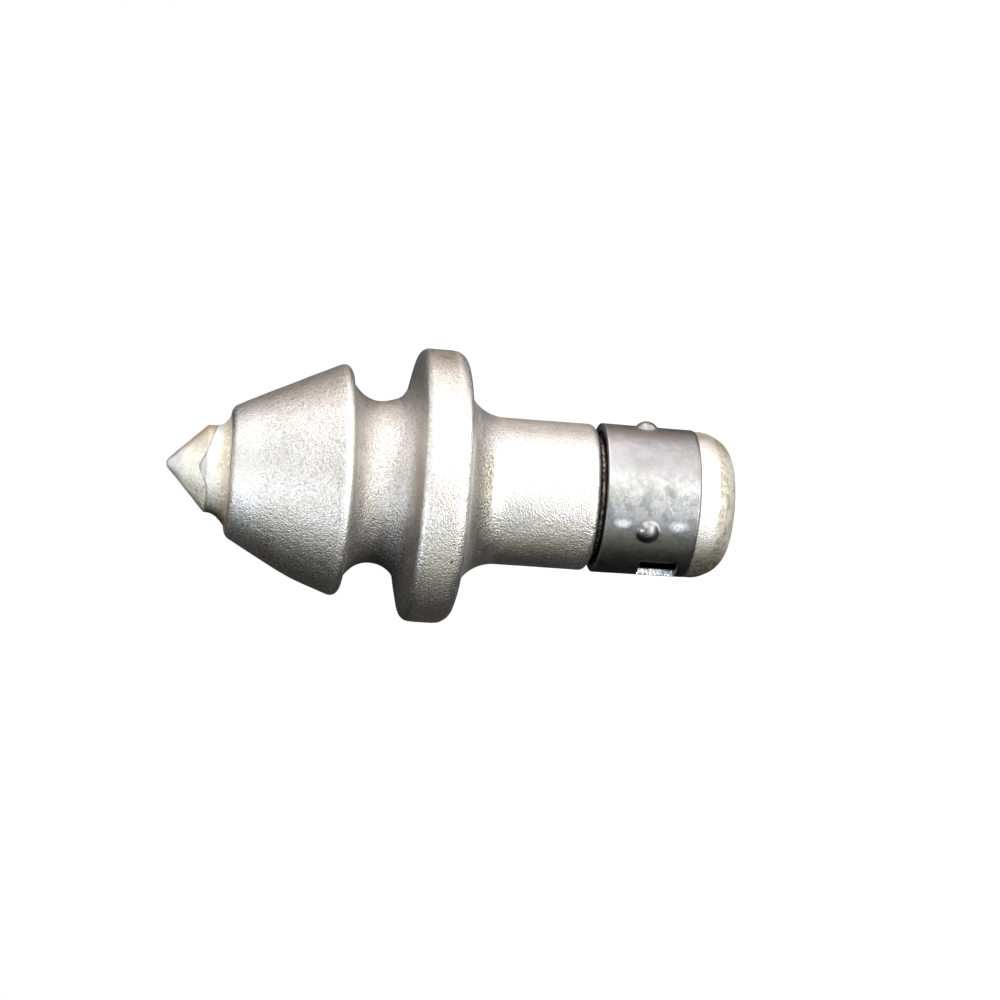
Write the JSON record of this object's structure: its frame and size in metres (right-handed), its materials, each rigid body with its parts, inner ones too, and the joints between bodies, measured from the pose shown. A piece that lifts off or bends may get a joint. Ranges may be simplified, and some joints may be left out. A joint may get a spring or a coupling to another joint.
{
  "type": "auger tooth",
  "caption": "Conical auger tooth with a brazed hard-metal point, puller groove, collar and a round shank held by a rolled split spring sleeve.",
  "frame": {"origin": "centre of the flat end face under the knob, where the tooth stands", "axes": "+Z along the tooth's axis towards the point; the camera of the picture is on the -Y side"},
  "size_m": [0.0558, 0.0558, 0.1155],
  "materials": {
    "forged_steel": "shot-blasted forged steel, fine grain",
    "carbide": "sintered tungsten carbide, tinted by braze flux",
    "braze": "rough braze bead",
    "spring_steel": "smooth hardened spring strip"
  },
  "bodies": {
    "tooth": {"tooth_body": "forged_steel", "carbide_tip": "carbide", "braze_joint": "braze"},
    "retainer": {"retainer_sleeve": "spring_steel"}
  },
  "joints": [
    {"name": "sleeve_spin", "type": "hinge", "parent": "tooth", "child": "retainer", "pos_m": [0, 0, 0.018], "axis": [0, 0, 1], "continuous": true}
  ]
}
